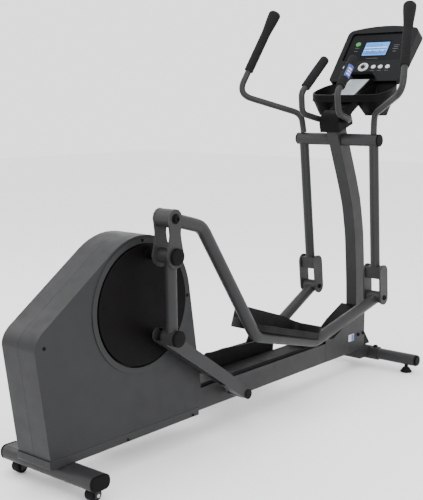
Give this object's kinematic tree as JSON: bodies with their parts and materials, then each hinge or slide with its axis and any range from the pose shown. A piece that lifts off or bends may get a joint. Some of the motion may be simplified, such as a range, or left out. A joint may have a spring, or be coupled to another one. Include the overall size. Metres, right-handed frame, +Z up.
{
  "type": "elliptical trainer",
  "caption": "Rear-drive elliptical trainer with crank discs in a shroud, coupled foot pedals and swinging arm handles, a central column, fixed handlebar and console.",
  "frame": {"origin": "on the floor below the middle of the machine's bounding box", "axes": "+X forward towards the console, +Y to the user's left, +Z up"},
  "size_m": [2.1192, 0.7894, 1.5645],
  "materials": {
    "black": "fine texture",
    "cover": "fine texture",
    "housing": "satin",
    "silver": "metallic paint",
    "frame": "satin powder coat",
    "steel": "turned",
    "disc": "fine texture",
    "iron": "machined",
    "screen": "clear window",
    "belt": "matte",
    "foam": "foam",
    "rubber": "moulded",
    "label": "printed panel",
    "wheel": "moulded",
    "shroud": "satin",
    "green": "gloss"
  },
  "bodies": {
    "frame": {"base_top_cover": "cover", "beam_track_cover": "black", "console_housing": "housing", "console_tray": "cover", "cross_axle": "steel", "display_lens": "screen", "display_surround": "black", "drive_belt": "belt", "drive_bracket": "frame", "fixed_grip_l": "foam", "fixed_grip_r": "foam", "fixed_handlebar": "frame", "front_base": "frame", "front_foot_l": "rubber", "front_foot_r": "rubber", "front_gusset_cover": "black", "front_stabilizer": "frame", "front_stabilizer_cap_l": "black", "front_stabilizer_cap_r": "black", "guide_plate": "label", "main_beam": "frame", "mono_column": "frame", "neck_cover": "cover", "reading_ledge": "black", "rear_stabilizer": "frame", "rear_stabilizer_cap_l": "black", "rear_stabilizer_cap_r": "black", "rocker_shaft": "steel", "shroud_left": "shroud", "shroud_right": "shroud", "shroud_skirt": "shroud"},
    "arm_l": {"arm_end_cap_l": "black", "handle_grip_l": "foam", "handle_tube_l": "frame", "user_arm_l": "frame"},
    "arm_r": {"arm_end_cap_r": "black", "handle_grip_r": "foam", "handle_tube_r": "frame", "user_arm_r": "frame"},
    "push_control_ring": {"control_ring": "silver"},
    "fork_l": {"coupler_fork_l": "frame"},
    "fork_r": {"coupler_fork_r": "frame"},
    "crank": {"crank_axle": "steel", "crank_disc_l": "disc", "crank_disc_r": "disc", "crank_pulley": "iron"},
    "flywheel_rotor": {"flywheel": "iron"},
    "lever_l": {"foot_pedal_l": "black", "pedal_lever_l": "frame"},
    "lever_r": {"foot_pedal_r": "black", "pedal_lever_r": "frame"},
    "push_key_1": {"key_1": "silver"},
    "push_key_2": {"key_2": "silver"},
    "push_key_3": {"key_3": "silver"},
    "push_key_4": {"key_4": "silver"},
    "wheel_l": {"rear_wheel_l": "wheel"},
    "wheel_r": {"rear_wheel_r": "wheel"},
    "rocker_l": {"rocker_arm_l": "frame"},
    "rocker_r": {"rocker_arm_r": "frame"},
    "push_start_key": {"start_key": "green"}
  },
  "joints": [
    {"name": "crank_turn", "type": "hinge", "parent": "frame", "child": "crank", "pos_m": [-0.61507, 0, 0.528], "axis": [0, 1, 0], "range_deg": [-15, 15]},
    {"name": "flywheel_spin", "type": "hinge", "parent": "frame", "child": "flywheel_rotor", "pos_m": [-0.87307, 0, 0.3], "axis": [0, 1, 0], "range_deg": [-60, 60]},
    {"name": "fork_pivot_r", "type": "hinge", "parent": "crank", "child": "fork_r", "pos_m": [-0.58555, -0.162, 0.69542], "axis": [0, 1, 0], "range_deg": [-5, 5]},
    {"name": "lever_pivot_r", "type": "hinge", "parent": "fork_r", "child": "lever_r", "pos_m": [-0.58776, -0.162, 0.8154], "axis": [0, 1, 0], "range_deg": [-12, 12]},
    {"name": "rocker_pivot_r", "type": "hinge", "parent": "frame", "child": "rocker_r", "pos_m": [-0.14807, -0.105, 0.133], "axis": [0, 1, 0], "range_deg": [-2, 2]},
    {"name": "arm_pivot_r", "type": "hinge", "parent": "frame", "child": "arm_r", "pos_m": [0.64493, -0.112, 1.02], "axis": [0, 1, 0], "range_deg": [-7, 7]},
    {"name": "transport_wheel_r", "type": "hinge", "parent": "frame", "child": "wheel_r", "pos_m": [-0.93307, -0.172, 0.021], "axis": [0, 1, 0], "continuous": true},
    {"name": "fork_pivot_l", "type": "hinge", "parent": "crank", "child": "fork_l", "pos_m": [-0.64459, 0.162, 0.36058], "axis": [0, 1, 0], "range_deg": [-25, 25]},
    {"name": "lever_pivot_l", "type": "hinge", "parent": "fork_l", "child": "lever_l", "pos_m": [-0.63226, 0.162, 0.47995], "axis": [0, 1, 0], "range_deg": [-11, 11]},
    {"name": "rocker_pivot_l", "type": "hinge", "parent": "frame", "child": "rocker_l", "pos_m": [-0.14807, 0.105, 0.133], "axis": [0, 1, 0], "range_deg": [-1, 1]},
    {"name": "arm_pivot_l", "type": "hinge", "parent": "frame", "child": "arm_l", "pos_m": [0.64493, 0.112, 1.02], "axis": [0, 1, 0], "range_deg": [-6, 6]},
    {"name": "transport_wheel_l", "type": "hinge", "parent": "frame", "child": "wheel_l", "pos_m": [-0.93307, 0.172, 0.021], "axis": [0, 1, 0], "continuous": true},
    {"name": "press_control_ring", "type": "slide", "parent": "frame", "child": "push_control_ring", "axis": [0.7971, 0, -0.6039], "range_m": [0, 0.0015], "stiffness_N_per_m": 300},
    {"name": "press_key_1", "type": "slide", "parent": "frame", "child": "push_key_1", "axis": [0.7971, 0, -0.6039], "range_m": [0, 0.0015], "stiffness_N_per_m": 300},
    {"name": "press_key_2", "type": "slide", "parent": "frame", "child": "push_key_2", "axis": [0.7971, 0, -0.6039], "range_m": [0, 0.0015], "stiffness_N_per_m": 300},
    {"name": "press_key_3", "type": "slide", "parent": "frame", "child": "push_key_3", "axis": [0.7971, 0, -0.6039], "range_m": [0, 0.0015], "stiffness_N_per_m": 300},
    {"name": "press_key_4", "type": "slide", "parent": "frame", "child": "push_key_4", "axis": [0.7971, 0, -0.6039], "range_m": [0, 0.0015], "stiffness_N_per_m": 300},
    {"name": "press_start_key", "type": "slide", "parent": "frame", "child": "push_start_key", "axis": [0.7971, 0, -0.6039], "range_m": [0, 0.0015], "stiffness_N_per_m": 300}
  ],
  "couplings": [
    {"joint": "flywheel_spin", "follows": "crank_turn", "ratio": 3.5175},
    {"joint": "fork_pivot_r", "follows": "crank_turn", "ratio": -0.2847},
    {"joint": "lever_pivot_r", "follows": "crank_turn", "ratio": -0.7531},
    {"joint": "rocker_pivot_r", "follows": "crank_turn", "ratio": -0.0762},
    {"joint": "arm_pivot_r", "follows": "crank_turn", "ratio": -0.408},
    {"joint": "fork_pivot_l", "follows": "crank_turn", "ratio": -1.6302},
    {"joint": "lever_pivot_l", "follows": "crank_turn", "ratio": 0.6797},
    {"joint": "rocker_pivot_l", "follows": "crank_turn", "ratio": 0.0217},
    {"joint": "arm_pivot_l", "follows": "crank_turn", "ratio": 0.3767}
  ]
}
